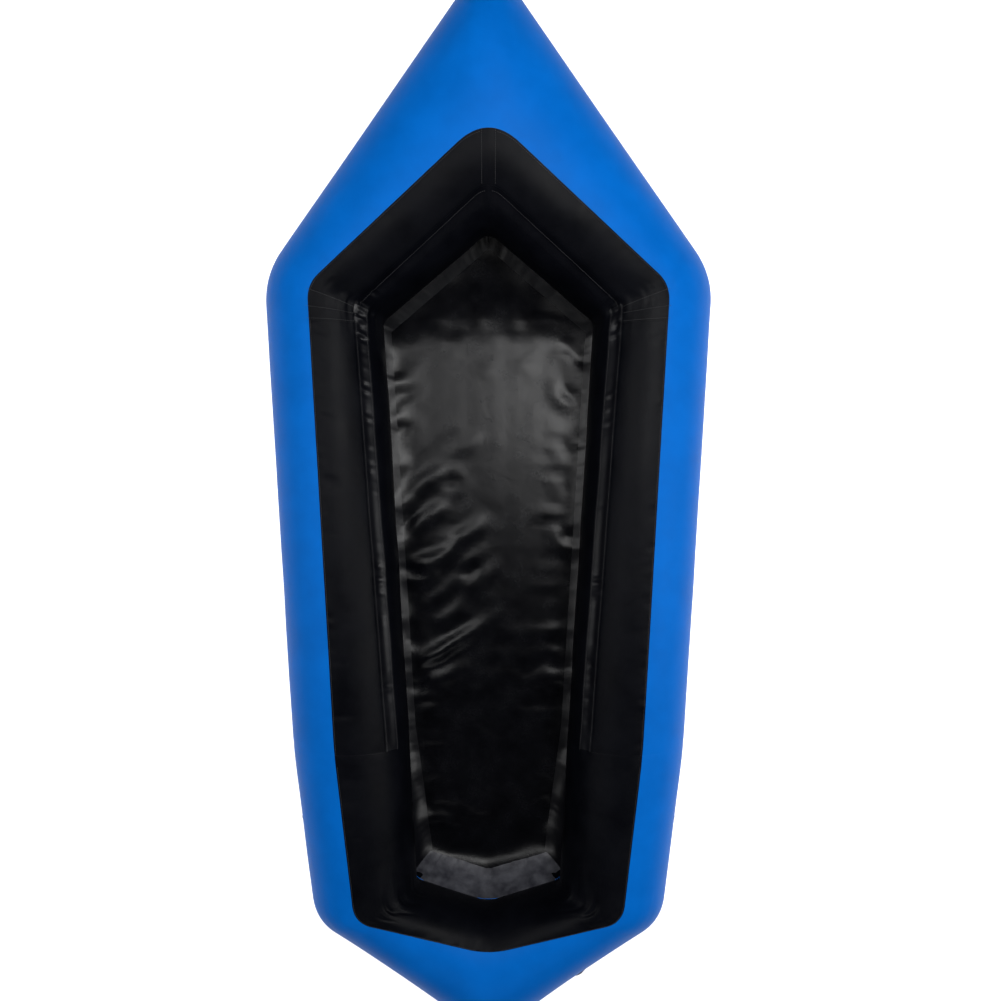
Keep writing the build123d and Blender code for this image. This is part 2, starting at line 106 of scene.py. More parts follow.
def station(x, y, z, sweep, tilt, inner, outer, half_height):
    """One oval: its centre, its two directions and its half widths."""
    sweep, tilt = math.radians(sweep), math.radians(tilt)
    flat, up = np.array([math.cos(sweep), math.sin(sweep), 0.0]), np.array([0.0, 0.0, 1.0])
    return {
        "centre": np.array([x, y - middle_y, z]), "inner": inner, "outer": outer, "half_height": half_height,
        "outward": flat * math.cos(tilt) + up * math.sin(tilt), "upward": up * math.cos(tilt) - flat * math.sin(tilt),
    }


stations = [
    station(strip_half["bow"], bow_y, 0.225, 90, bow_tilt, 0.200, bow_outer, 0.128),
    station(0.355, 0.4365, 0.125, 20, 0, 0.135, 0.138, 0.125),
    station(0.297, -0.5225, 0.125, 0, 0, 0.125, 0.125, 0.125),
    station(0.263, -0.8615, 0.140, -15, 0, 0.113, 0.113, 0.117),
    station(strip_half["stern"], stern_y, 0.140, -90, stern_tilt, 0.125, stern_outer, 0.115),
]

# %% [markdown]
# Seams run lengthwise at a different angle in each plane. One number, called turn below, names a line that runs along
# the whole boat: it is the angle at the quarter, and it is looked up for the other planes. The floor seam is at -50,
# the seam in the inner wall at 40, the line between black and blue at 99, and the floor seam again at 310.

# %% Lines along the tube
FLOOR, MIDDLE, COLOUR, ROUND = -50.0, 40.0, 99.0, 310.0
FORE_LINES = (FLOOR, MIDDLE, COLOUR, ROUND)
AFT_LINES = (FLOOR, COLOUR, ROUND)
ANGLES = [
    (FORE_LINES, (-38.0, 54.0, 93.0, 322.0)),
    (FORE_LINES, (-50.0, 47.0, 98.0, 310.0)),
    (FORE_LINES, (-50.0, 40.0, 99.0, 310.0)),
    (AFT_LINES, (-35.0, 96.0, 325.0)),
    (AFT_LINES, (-22.0, 66.0, 338.0)),
]
# How far from each corner the skin starts to turn, for the same lines and the outside of the tube.
BEND_LINES = (FLOOR, MIDDLE, COLOUR, 190.0, ROUND)
BENDS = [
    (0.020, 0.035, 0.082, 0.050, 0.040),
    (0.012, 0.016, 0.034, 0.075, 0.050),
    (0.030, 0.030, 0.040, 0.060, 0.040),
    (0.012, 0.020, 0.036, 0.050, 0.040),
    (0.015, 0.025, 0.045, 0.055, 0.040),
]


def oval(index, turn):
    """The point of one plane's oval on a line along the boat."""
    s = stations[index]
    angle = np.radians(np.interp(turn, *ANGLES[index]))
    across = -np.where(np.cos(angle) > 0, s["inner"], s["outer"]) * np.cos(angle)
    up = s["half_height"] * np.sin(angle)
    return s["centre"] + across[..., None] * s["outward"] + up[..., None] * s["upward"]


def length(v):
    """The lengths of an array of vectors, kept as a column."""
    return np.sqrt((v * v).sum(-1, keepdims=True))


def run_along(points):
    """How far each point of a line lies from its first one, along the line."""
    return np.concatenate([[0.0], np.cumsum(np.linalg.norm(np.diff(points, axis=0), axis=-1))])


def corner_points(turn):
    """Where the line turns: the five planes, with one more point beyond the middle of the boat at each end."""
    points = [oval(i, turn) for i in range(5)]
    for end, beside in ((0, 1), (4, 3)):
        gap = points[end] - points[beside]
        share = points[end][..., :1] / (points[beside][..., :1] - points[end][..., :1])
        points[end] = points[end] + gap * share
    port = np.array([-1.0, 1.0, 1.0])
    return [points[1] * port, *points, points[3] * port]


def skin(turn, place):
    """Points of the starboard skin. place runs from 0 at the middle of the bow to 4 at the middle of the stern."""
    turn, place = np.broadcast_arrays(np.asarray(turn, float), np.asarray(place, float))
    place = np.clip(place, 0.0, 4.0)
    corners = corner_points(turn)
    result = np.zeros(turn.shape + (3,))
    for i in range(4):
        here = (place >= i) & (place <= i + 1)
        a, b, c, d = (corners[i + k][here] for k in range(4))
        run = length(c - b)
        s = (place[here] - i)[..., None] * run
        point = b + (c - b) * s / run
        for near, before, after, gap, bend in ((b, a, c, s, BENDS[i]), (c, d, b, run - s, BENDS[i + 1])):
            reach = np.interp(turn[here], BEND_LINES, bend)[..., None]
            start = near + (before - near) / length(before - near) * reach
            end = near + (after - near) / length(after - near) * reach
            k = 0.5 + 0.5 * gap / reach
            curve = (1 - k) ** 2 * start + 2 * k * (1 - k) * near + k * k * end
            point = np.where(gap < reach, curve, point)
        result[here] = point
    return result


def outwards(turn, place):
    """Unit normals of the starboard skin."""
    turn, place = np.broadcast_arrays(np.asarray(turn, float), np.asarray(place, float))
    around = skin(turn + 0.4, place) - skin(turn - 0.4, place)
    along = skin(turn, place + 0.003) - skin(turn, place - 0.003)
    normal = np.cross(along, around)
    return normal / length(normal)


crest = skin(np.full(5, 90.0), np.arange(5.0))
print("the tube's top passes", [tuple(p) for p in np.round(crest, 2)])

# %% [markdown]
# ## Wrinkles in the skin
# Air pulls the panels tight, but every seam holds back a little spare cloth. It shows as short puckers square to the
# seam, a shallow valley along it, and sharp creases where the tube folds at a mitre. They are real relief of a
# millimetre or two, worked out from a table of seeded random values, so that the same boat comes out every time.

# %% Smooth noise and the relief of the skin
TABLE = np.random.default_rng(7).uniform(-1.0, 1.0, (256, 256))


def noise(x, y=0.0, seed=0):
    """Smooth random values from -1 to 1 over a grid of step 1."""
    x, y = np.broadcast_arrays(np.asarray(x, float), np.asarray(y, float) + seed * 17.0)
    i, j = np.floor(x).astype(int), np.floor(y).astype(int)
    u, v = x - i, y - j
    u, v = u * u * (3 - 2 * u), v * v * (3 - 2 * v)
    a, b = TABLE[i % 256, j % 256], TABLE[(i + 1) % 256, j % 256]
    c, d = TABLE[i % 256, (j + 1) % 256], TABLE[(i + 1) % 256, (j + 1) % 256]
    return (a * (1 - u) + b * u) * (1 - v) + (c * (1 - u) + d * u) * v


def bump(x, width):
    """A smooth hill of height 1 about 0."""
    return np.exp(-((x / width) ** 2))


# Metres along the boat at each of the five planes, and the tube's radius at the quarter.
PLACE_LENGTHS = (0.0, 0.44, 1.40, 1.745, 2.03)
TUBE_RADIUS = 0.125


def along_boat(place):
    """Metres from the middle of the bow, below zero to port."""
    return np.interp(np.abs(place), range(5), PLACE_LENGTHS) * np.sign(place)


def relief(turn, place, side):
    """How far the skin stands off its plain shape, in metres."""
    along = np.interp(place, range(5), PLACE_LENGTHS)
    seed = 3 if side > 0 else 11
    fore = 1 / (1 + np.exp((place - 1.97) * 25))
    from_colour = np.radians(turn - COLOUR) * TUBE_RADIUS
    from_middle = np.radians(turn - MIDDLE) * TUBE_RADIUS
    black = turn < COLOUR
    # Broad waves.
    rise = 0.0008 * noise(along / 0.09, turn / 34, seed) * np.where(black, 1.4, 0.55)
    # Puckers and deeper creases below the line between the colours.
    pucker = noise(along / 0.013, turn / 60, seed + 1) * (0.35 + 0.65 * np.abs(noise(along / 0.11, 0.0, seed + 2)))
    rise += pucker * bump(from_colour, 0.016) * np.where(black, 0.0016, 0.00020)
    deep = np.clip(noise(along / 0.022, 0.3, seed + 3) - 0.25, 0, 1)
    deep = deep * np.clip(noise(along / 0.2, 0.6, seed + 4) + 0.4, 0, 1)
    slant = from_colour + 0.006 * noise(along / 0.05, 0.1, seed + 5)
    rise += np.where(black, -0.0036, 0.0) * deep * bump(slant + 0.022, 0.020)
    # The valley of the seam in the wall, its ladder of crumples and a slack wave inboard of it.
    rise -= 0.0040 * bump(from_middle, 0.014) * fore
    ladder = noise(along / 0.010, turn / 60, seed + 6) * np.clip(0.45 + noise(along / 0.08, 0.2, seed + 7), 0, 1)
    knot = 1 + 1.5 * bump((place - 1) * 0.96, 0.08)
    rise += 0.0030 * ladder * bump(from_middle, 0.012) * fore * knot
    rise += 0.0012 * noise(along / 0.05, turn / 12, seed + 8) * bump(from_middle + 0.055, 0.03) * fore
    # Folds at the shoulder and the corner, where the tube turns.
    for corner, reach in ((1, 0.055), (3, 0.045)):
        gap = (place - corner) * (PLACE_LENGTHS[corner + 1] - PLACE_LENGTHS[corner])
        fold = noise(turn / 5.5, gap / 0.06, seed + 9 + corner) * bump(gap, reach)
        rise += 0.0032 * fold * bump(np.radians(turn - 45) * TUBE_RADIUS, 0.065)
        rise += 0.0006 * noise(turn / 4, gap / 0.05, seed + 12) * bump(gap, reach) * bump(from_colour, 0.09)
    # The joint at the quarter.
    joint = (place - 2) * 0.5
    rise += 0.0010 * noise(turn / 7, joint / 0.02, seed + 14) * bump(joint, 0.012) * bump(from_middle, 0.05)
    rise -= 0.0003 * bump(joint, 0.004)
    return rise * np.clip(place / 0.05, 0, 1) * np.clip((4 - place) / 0.05, 0, 1)


def surface(turn, place, lift=0.0):
    """Points of the finished skin, raised by lift. A place below zero is the same place to port."""
    turn, signed = np.broadcast_arrays(np.asarray(turn, float), np.asarray(place, float))
    place, port = np.abs(signed), np.signbit(signed)
    rise = np.where(port, relief(turn, place, -1), relief(turn, place, 1)) + lift
    points = skin(turn, place) + outwards(turn, place) * rise[..., None]
    points[..., 0] *= np.where(port, -1.0, 1.0)
    return points


# %% [markdown]
# ## Cloth as a closed shell
# A panel has two faces and an edge all round, so a grid of points for its outside and one for its inside are joined
# into a closed shell. The shell also gets a UV map laid out in metres, which lets the weave of the cloth follow it.

# %% Shells and ribbons
PANEL_THICKNESS = 0.0008
SHARP_EDGE = math.radians(50)


def finish_mesh(name, vertices, faces, material, uv=None, smooth=True):
    """A new object at the origin with that mesh and material."""
    mesh = bpy.data.meshes.new(name)
    mesh.from_pydata(vertices, [], faces)
    if uv is not None:
        loops = np.zeros(len(mesh.loops), dtype=np.int32)
        mesh.loops.foreach_get("vertex_index", loops)
        mesh.uv_layers.new(name="cloth").data.foreach_set("uv", uv[loops].astype(np.float32).ravel())
    mesh.polygons.foreach_set("use_smooth", np.full(len(mesh.polygons), smooth))
    mesh.materials.append(material)
    mesh.update()
    piece = bpy.data.objects.new(name, mesh)
    bpy.context.collection.objects.link(piece)
    return piece


def shell(name, outside, inside, material, inside_out=False, keep=None):
    """A closed shell between two grids of points. keep marks the squares that stay; the rest become holes."""
    rows, columns = outside.shape[:2]
    count = rows * columns
    index = np.arange(count).reshape(rows, columns)
    quads = np.stack([index[:-1, :-1], index[:-1, 1:], index[1:, 1:], index[1:, :-1]], -1)
    quads = quads[keep] if keep is not None else quads.reshape(-1, 4)
    edges = np.stack([quads, np.roll(quads, -1, 1)], -1).reshape(-1, 2)
    codes, back = edges[:, 0] * count + edges[:, 1], edges[:, 1] * count + edges[:, 0]
    open_edges = edges[~np.isin(codes, back)]
    walls = np.concatenate([open_edges[:, ::-1], open_edges + count], 1)
    faces = np.concatenate([quads, quads[:, ::-1] + count, walls])
    if inside_out:
        faces = faces[:, ::-1]
    across, down = run_along(outside[rows // 2]), run_along(outside[:, columns // 2])
    uv = np.stack(np.meshgrid(across, down), -1).reshape(-1, 2)
    vertices = np.concatenate([outside.reshape(-1, 3), inside.reshape(-1, 3)])
    used = np.unique(faces)
    renumber = np.zeros(len(vertices), int)
    renumber[used] = np.arange(len(used))
    piece = finish_mesh(name, vertices[used], renumber[faces].tolist(), material, np.concatenate([uv, uv])[used])
    piece.data.set_sharp_from_angle(angle=SHARP_EDGE)
    return piece


def skin_shell(name, turn, place, material, lift=0.0, thickness=PANEL_THICKNESS, keep=None):
    """A piece of cloth on the skin, from a grid of turns and places that run from port to starboard or aft."""
    outside, inside = surface(turn, place, lift), surface(turn, place, lift - thickness)
    return shell(name, outside, inside, material, keep=keep)


def settle(piece, body, slot, *nodes):
    """Says what body a piece rides on and which nodes of the frame it stands for. slot is not used."""
    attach(piece, body)
    if nodes:
        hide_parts(*nodes)
    return piece


# %% [markdown]
# ## Finishes
# The hull is nylon with a thin plastic coat: smooth and slightly shiny, with the weave only just showing through.
# Each finish is a small tree of nodes with the same plan. A weave of two crossing waves and a soft mottle feed the
# bump, and the mottle also shifts the colour and the gloss a little.

# %% Node helpers
def new_material(name):
    """An empty material with its shader, and a function that adds and links nodes."""
    material = bpy.data.materials.new(name)
    material.use_nodes = True
    tree = material.node_tree
    shader = tree.nodes["Principled BSDF"]

    def add(kind, inputs=(), **settings):
        node = tree.nodes.new(kind)
        for key, value in settings.items():
            setattr(node, key, value)
        for key, value in dict(inputs).items():
            if isinstance(value, bpy.types.NodeSocket):
                tree.links.new(value, node.inputs[key])
            else:
                node.inputs[key].default_value = value
        return node

    return material, shader, add, tree.links.new


def ramp(add, value, low, dark, high, light):
    """A colour ramp over a value: dark up to low, light from high on."""
    node = add("ShaderNodeValToRGB", {0: value})
    for element, place, colour in zip(node.color_ramp.elements, (low, high), (dark, light)):
        element.position, element.color = place, (*colour, 1)
    return node.outputs["Color"]


def tinted(colour, share=0.6):
    """A share of a colour."""
    return [part * share for part in colour]


def coated_cloth(name, dark, light, gloss, weave_depth, mottle_depth, shine=0.3, weave_pitch=0.0009, mottle=14.0):
    """Woven nylon under a plastic coat. gloss gives the roughness of its shiny and dull parts."""
    material, shader, add, link = new_material(name)
    spot = add("ShaderNodeTexCoord")
    cloth = spot.outputs["UV"]
    scale = 2 * math.pi / 20 / weave_pitch
    threads = [add("ShaderNodeTexWave", {"Vector": cloth, "Scale": scale, "Distortion": 0.4, "Detail": 1.0},
                   bands_direction=way).outputs["Fac"] for way in ("X", "Y")]
    weave = add("ShaderNodeMath", {0: threads[0], 1: threads[1]}, operation="MAXIMUM").outputs[0]
    object_place = spot.outputs["Object"]
    patches = add("ShaderNodeTexNoise", {"Vector": object_place, "Scale": mottle, "Detail": 6.0, "Roughness": 0.55})
    grain = add("ShaderNodeTexNoise", {"Vector": object_place, "Scale": 420.0, "Detail": 3.0, "Roughness": 0.6})
    link(ramp(add, patches.outputs["Fac"], 0.32, dark, 0.68, light), shader.inputs["Base Color"])
    rough = add("ShaderNodeMapRange", {"Value": patches.outputs["Fac"], "From Min": 0.3, "From Max": 0.7,
                                       "To Min": gloss[0], "To Max": gloss[1]}).outputs["Result"]
    rough = add("ShaderNodeMath", {0: grain.outputs["Fac"], 1: 0.10, 2: rough}, operation="MULTIPLY_ADD").outputs[0]
    link(rough, shader.inputs["Roughness"])
    soft = add("ShaderNodeBump", {"Height": patches.outputs["Fac"], "Strength": 1.0, "Distance": mottle_depth})
    fine = add("ShaderNodeBump", {"Height": weave, "Strength": 0.7, "Distance": weave_depth,
                                  "Normal": soft.outputs[0]})
    last = add("ShaderNodeBump", {"Height": grain.outputs["Fac"], "Strength": 0.5, "Distance": 0.00012,
                                  "Normal": fine.outputs[0]})
    link(last.outputs[0], shader.inputs["Normal"])
    shader.inputs["Specular IOR Level"].default_value = shine
    return material


# %% The cloths
blue_cloth = coated_cloth("blue_coated_nylon", (0.0, 0.100, 0.42), (0.0, 0.116, 0.48), (0.36, 0.44), 0.00005, 0.0005,
                          shine=0.15)
blue_cloth.node_tree.nodes["Principled BSDF"].inputs["IOR"].default_value = 1.22
black_cloth = coated_cloth("black_coated_nylon", (0.0010, 0.0012, 0.0022), (0.0022, 0.0025, 0.0040), (0.28, 0.40),
                           0.00006, 0.0012, shine=0.05)
floor_cloth = coated_cloth("glossy_floor_nylon", (0.0006, 0.0007, 0.0014), (0.0018, 0.0020, 0.0032), (0.15, 0.24),
                           0.00004, 0.0006, shine=0.15, mottle=18.0)
tape_cloth = coated_cloth("seam_tape", (0.0018, 0.0020, 0.0032), (0.0036, 0.0039, 0.0056), (0.24, 0.36), 0.00002,
                          0.0008, shine=0.22)
# The stern tape's pale grey is a painted highlight: the tape faces forward and up and catches the key light.
stern_tape_lit_cloth = coated_cloth("stern_tape_painted_highlight", (0.022, 0.0225, 0.029), (0.070, 0.072, 0.084), (0.30, 0.44),
                                0.00003, 0.0012, shine=0.40, mottle=35.0)
patch_cloth = coated_cloth("patch_nylon", (0.0010, 0.0012, 0.0022), (0.0022, 0.0025, 0.0040), (0.28, 0.40), 0.00008,
                           0.001, shine=0.055)
web_cloth = coated_cloth("woven_webbing", (0.006, 0.006, 0.007), (0.014, 0.014, 0.015), (0.60, 0.75), 0.00035,
                         0.0004, shine=0.3, weave_pitch=0.0016)
cloths = (blue_cloth, black_cloth, floor_cloth, tape_cloth, stern_tape_lit_cloth, patch_cloth, web_cloth)
print("the cloths:", ", ".join(cloth.name for cloth in cloths))


# %% Thread, wire and moulded finishes
def thread_finish(name, colour):
    """Sewing thread: dull, with a twist that shows as fine slanting bands of painted shade."""
    material, shader, add, link = new_material(name)
    place = add("ShaderNodeTexCoord").outputs["Object"]
    twist = add("ShaderNodeTexWave", {"Vector": place, "Scale": 700.0, "Distortion": 1.0}, bands_direction="DIAGONAL")
    twist = twist.outputs["Fac"]
    # The darker part of each twist band is painted shade in the grooves between the plies.
    link(ramp(add, twist, 0.0, tinted(colour), 1.0, colour), shader.inputs["Base Color"])
    link(add("ShaderNodeBump", {"Height": twist, "Distance": 0.0001}).outputs[0], shader.inputs["Normal"])
    shader.inputs["Roughness"].default_value = 0.6
    return material


black_thread = thread_finish("black_thread", (0.035, 0.035, 0.038))


def metal_finish(name, colour, roughness):
    """Drawn wire: small scratches along it and a few duller spots."""
    material, shader, add, link = new_material(name)
    place = add("ShaderNodeTexCoord").outputs["Object"]
    spots = add("ShaderNodeTexNoise", {"Vector": place, "Scale": 260.0, "Detail": 5.0}).outputs["Fac"]
    lines = add("ShaderNodeTexNoise", {"Vector": place, "Scale": 1500.0, "Detail": 2.0}).outputs["Fac"]
    link(ramp(add, spots, 0.35, tinted(colour), 0.65, colour), shader.inputs["Base Color"])
    rough = add("ShaderNodeMapRange", {"Value": spots, "To Min": roughness, "To Max": roughness + 0.2})
    link(rough.outputs["Result"], shader.inputs["Roughness"])
    link(add("ShaderNodeBump", {"Height": lines, "Distance": 0.00005}).outputs[0], shader.inputs["Normal"])
    shader.inputs["Metallic"].default_value = 1.0
    return material


def moulded_finish(name, colour, roughness, grain_size):
    """Moulded plastic or rubber: a fine even grain, a little paler where it is worn."""
    material, shader, add, link = new_material(name)
    place = add("ShaderNodeTexCoord").outputs["Object"]
    grain = add("ShaderNodeTexVoronoi", {"Vector": place, "Scale": grain_size}).outputs["Distance"]
    wear = add("ShaderNodeTexNoise", {"Vector": place, "Scale": 90.0, "Detail": 6.0}).outputs["Fac"]
    link(ramp(add, wear, 0.35, colour, 0.75, tinted(colour, 1.9)), shader.inputs["Base Color"])
    rough = add("ShaderNodeMapRange", {"Value": wear, "To Min": roughness - 0.08, "To Max": roughness + 0.1})
    link(rough.outputs["Result"], shader.inputs["Roughness"])
    relief_node = add("ShaderNodeBump", {"Height": grain, "Distance": 0.00008, "Strength": 0.6})
    link(relief_node.outputs[0], shader.inputs["Normal"])
    return material


ring_wire = metal_finish("ring_wire", (0.075, 0.075, 0.08), 0.38)
spring_wire = metal_finish("spring_wire", (0.55, 0.55, 0.56), 0.25)
valve_plastic = moulded_finish("valve_plastic", (0.016, 0.016, 0.018), 0.48, 1400.0)
valve_rubber = moulded_finish("valve_rubber", (0.012, 0.012, 0.013), 0.68, 2200.0)
print(len(bpy.data.materials), "materials, with the frame's own")

# %% [markdown]
# ## The tube's panels
# Every panel is its own shell between two planes and two lines. The blue row is plain; the black rows carry more
# relief, so their grid is finer. A narrow straight strip joins port and starboard at the bow and at the stern.

# %% The grid of a panel
SIDES = (("right", 1), ("left", -1))
PLACES = {"bow": (0, 1), "side": (1, 2), "quarter": (2, 3), "stern": (3, 4)}
FORE_ROWS = {"outer": (COLOUR, ROUND), "inner": (MIDDLE, COLOUR), "lower": (FLOOR, MIDDLE)}
AFT_ROWS = {"outer": (COLOUR, ROUND), "inner": (FLOOR, COLOUR)}
ROWS = {"bow": FORE_ROWS, "side": FORE_ROWS, "quarter": AFT_ROWS, "stern": AFT_ROWS}
STEP = {"outer": (0.0065, 2.6), "inner": (0.0034, 1.7), "lower": (0.0044, 2.3)}


def strip_edge(end, turn):
    """The place where the middle strip ends, on each line along the boat."""
    beside = oval(1 if end == "bow" else 3, turn)[..., 0]
    share = strip_half[end] / beside
    return share if end == "bow" else 4 - share


def spread(count, start, end):
    """Evenly spaced values from start to end, which may be arrays of one value for each row."""
    share = np.linspace(0.0, 1.0, count)
    return np.atleast_1d(start)[:, None] * (1 - share) + np.atleast_1d(end)[:, None] * share


def row_turns(place, row):
    """The turns of a panel's rows, from its low line to its high one."""
    low, high = ROWS[place][row]
    return np.linspace(low, high, int((high - low) / STEP[row][1]) + 2)


def panel_grid(place, row, side):
    """The turns and places of one panel's grid. To port the places run backwards, so that faces point outwards."""
    first, last = PLACES[place]
    turns = row_turns(place, row)
    start = strip_edge("bow", turns) if place == "bow" else np.full(turns.shape, float(first))
    end = strip_edge("stern", turns) if place == "stern" else np.full(turns.shape, float(last))
    run = PLACE_LENGTHS[last] - PLACE_LENGTHS[first]
    places = spread(int(run * 1.15 / STEP[row][0]) + 2, start, end)
    if side < 0:
        places = -places[:, ::-1]
    return np.broadcast_to(turns[:, None], places.shape), places


def finish_of(row):
    """The cloth and the slot of a row of panels."""
    return (blue_cloth, "tube_blue") if row == "outer" else (black_cloth, "tube_black")


print("rows run", ", ".join(f"{row} from {low:.0f} to {high:.0f}" for row, (low, high) in FORE_ROWS.items()))

# %% Cut the panels
VALVE_TURN, VALVE_PLACE = COLOUR + 0.47 * (ROUND - COLOUR), 3.5
valve_seat = skin(np.array(VALVE_TURN), np.array(VALVE_PLACE))
neck_hole = 0.0215


def clear_of_valve(turns, places, radius):
    """Which squares of a grid stay when a round hole is cut for the valve's neck."""
    points = surface(turns, places)
    middle = (points[:-1, :-1] + points[1:, 1:]) / 2
    return np.linalg.norm(middle - valve_seat, axis=-1) > radius


tube_faces = 0
for place in PLACES:
    for row in ROWS[place]:
        for side_name, side in SIDES:
            cloth, slot = finish_of(row)
            node = f"{place}_{row}_{side_name}"
            turns, places = panel_grid(place, row, side)
            keep = clear_of_valve(turns, places, neck_hole) if node == "stern_outer_right" else None
            piece = settle(skin_shell(f"{node}_cloth", turns, places, cloth, keep=keep), "hull", slot, node)
            tube_faces += len(piece.data.polygons)
print("the panels have", tube_faces, "faces")

# %% The strips at bow and stern
for end in ("bow", "stern"):
    for row in ROWS[end]:
        cloth, slot = finish_of(row)
        turns = row_turns(end, row)
        edge = strip_edge(end, turns)
        if end == "bow":
            places = spread(13, -edge, edge)
            places[:, 6] = 0.0
        else:
            half = spread(7, edge, np.full_like(edge, 4.0))
            places = np.concatenate([half, -half[:, -2::-1]], axis=1)
        node = f"{end}_strip_{row}"
        piece = skin_shell(f"{node}_cloth", np.broadcast_to(turns[:, None], places.shape), places, cloth)
        settle(piece, "hull", slot, node)
print("the strips are", [round(2000 * half) for half in strip_half.values()], "mm wide")

# %% [markdown]
# ## Seam tapes and mitre patches
# The seam in the inner wall is covered by a tape, heat-pressed over the joint. It shows as two fine lines with a
# crumpled, ladder-like band between them. A wider patch covers each shoulder mitre, where the tube folds hardest.

# %% Tapes over the seams of the wall
tape_lift, tape_thickness = 0.0012, 0.0006


def tape_on_skin(name, low, high, first, last, slot, node, cloth=None, lift=tape_lift):
    """A tape between two turns. first and last are its ends: places, or two arrays of one place for each turn."""
    turns = np.linspace(low, high, max(7, int((high - low) / 1.3)))
    first, last = np.broadcast_to(first, turns.shape), np.broadcast_to(last, turns.shape)
    run = abs(float(along_boat(last[0]) - along_boat(first[0])))
    places = spread(max(8, int(run / 0.0036)), first, last)
    wide = np.broadcast_to(turns[:, None], places.shape)
    piece = skin_shell(name, wide, places, cloth or tape_cloth, lift, tape_thickness)
    return settle(piece, "hull", slot, node)


half_tape = math.degrees(0.018 / TUBE_RADIUS)
flat_lift = 0.0009
patch_turns = (MIDDLE + half_tape + 0.4, COLOUR - 0.6)
tape_on_skin("bow_tape_band", MIDDLE - half_tape, MIDDLE + half_tape, -1.0, 1.0, "tape_black", "bow_seam_tape",
             black_cloth, flat_lift)
for side_name, side in SIDES:
    ends = (1.0, 2.0) if side > 0 else (-2.0, -1.0)
    tape_on_skin(f"side_tape_band_{side_name}", MIDDLE - half_tape, MIDDLE + half_tape, *ends, "tape_black",
                 f"side_seam_tape_{side_name}")
    rise = np.linspace(0, 1, int((COLOUR - 0.6 - MIDDLE - half_tape - 0.4) / 1.3))
    far = 1.045 + 0.030 * rise
    near = np.full_like(rise, 1.006)
    ends = (near, far) if side > 0 else (-far, -near)
    tape_on_skin(f"shoulder_wedge_{side_name}", *patch_turns, *ends, "patch_black", f"shoulder_patch_{side_name}",
                 patch_cloth, 0.0014)
quarter_bands = []
for side in (1, -1):
    ends = (2.004, 2.07) if side > 0 else (-2.07, -2.004)
    turns = np.linspace(*patch_turns, 36)
    places = spread(10, np.full_like(turns, ends[0]), np.full_like(turns, ends[1]))
    quarter_bands.append(skin_shell(f"quarter_band_{side}", np.broadcast_to(turns[:, None], places.shape), places,
                                    black_cloth, flat_lift, tape_thickness))


def join(name, pieces):
    """One object from several."""
    mesh = bmesh.new()
    for piece in pieces:
        mesh.from_mesh(piece.data)
    joined = pieces[0]
    mesh.to_mesh(joined.data)
    mesh.free()
    for piece in pieces[1:]:
        bpy.data.objects.remove(piece)
    joined.name = name
    return joined


settle(join("quarter_bands", quarter_bands), "hull", "tape_black", "quarter_tapes")
print("a tape is", round(math.radians(2 * half_tape) * TUBE_RADIUS * 1000), "mm wide")

# %% [markdown]
# ## Floor
# The floor is a single sheet, hemmed to the tube all round and lying on the ground in the middle. It is cut a little
# too large, so it can't lie flat. Cloth simulation finds the folds: the rim is pinned, the cloth grows by one part in
# two hundred, and gravity lays it on the ground. A first guess at the folds steers where they form.

# %% The floor's plain shape
FLOOR_TOP, RIM_LIFT, SLACK = 0.001, 0.002, 1.01
flat_ends = {"bow": 0.300 - middle_y, "stern": -0.740 - middle_y}
margins = {1: 0.070, 2: 0.080}
rim = np.array([oval(i, np.array(FLOOR)) for i in range(5)])


def border_plane(index):
    """A sloping plane of the floor's border: a point of it and its normal."""
    first, last = rim[index], rim[index + 1]
    if index in margins:
        inwards = np.cross(last - first, [0, 0, 1.0])
        low = (first + last) / 2 + inwards / np.linalg.norm(inwards) * margins[index]
    elif index == 0:
        low = np.array([first[0], flat_ends["bow"], 0])
    else:
        low = np.array([last[0], flat_ends["stern"], 0])
    low[2] = FLOOR_TOP
    return first, np.cross(last - first, low - first)


def floor_height(x, y):
    """The height of the plain floor, a little hollow along its border because the sheet sags there."""
    plane_top = np.full(np.broadcast(x, y).shape, FLOOR_TOP)
    for index in range(4):
        origin, normal = border_plane(index)
        plane = origin[2] - ((np.abs(x) - origin[0]) * normal[0] + (y - origin[1]) * normal[1]) / normal[2]
        plane_top = np.maximum(plane_top, plane)
    top = np.interp(y, rim[::-1, 1], rim[::-1, 2]) + RIM_LIFT
    share = np.clip((plane_top - FLOOR_TOP) / (top - RIM_LIFT - FLOOR_TOP), 0, 1)
    steepness = 1.5 + 5.0 * bump(y - rim[4][1], 0.17)
    return FLOOR_TOP + (top - FLOOR_TOP) * share ** steepness


def half_width(y):
    """Half the floor's width at a place along the boat."""
    return np.interp(y, rim[::-1, 1], rim[::-1, 0])


tuck = 0.006
row_step, floor_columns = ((0.0125, 43))
y_ends = [float(skin(np.array(FLOOR), np.array(place))[1]) for place in (4.0, 0.0)]
turns_at = [y_ends[0] - tuck, *rim[:0:-1, 1], rim[0, 1], y_ends[1] + tuck]
ys = np.concatenate([np.linspace(a, b, max(2, round((b - a) / row_step)), endpoint=False)
                     for a, b in zip(turns_at, turns_at[1:])] + [turns_at[-1:]])
share = np.linspace(-1.0, 1.0, floor_columns)
floor_x = (half_width(ys) + tuck)[:, None] * share
floor_y = np.broadcast_to(ys[:, None], floor_x.shape)
plain = np.stack([floor_x, floor_y, floor_height(floor_x, floor_y)], -1)


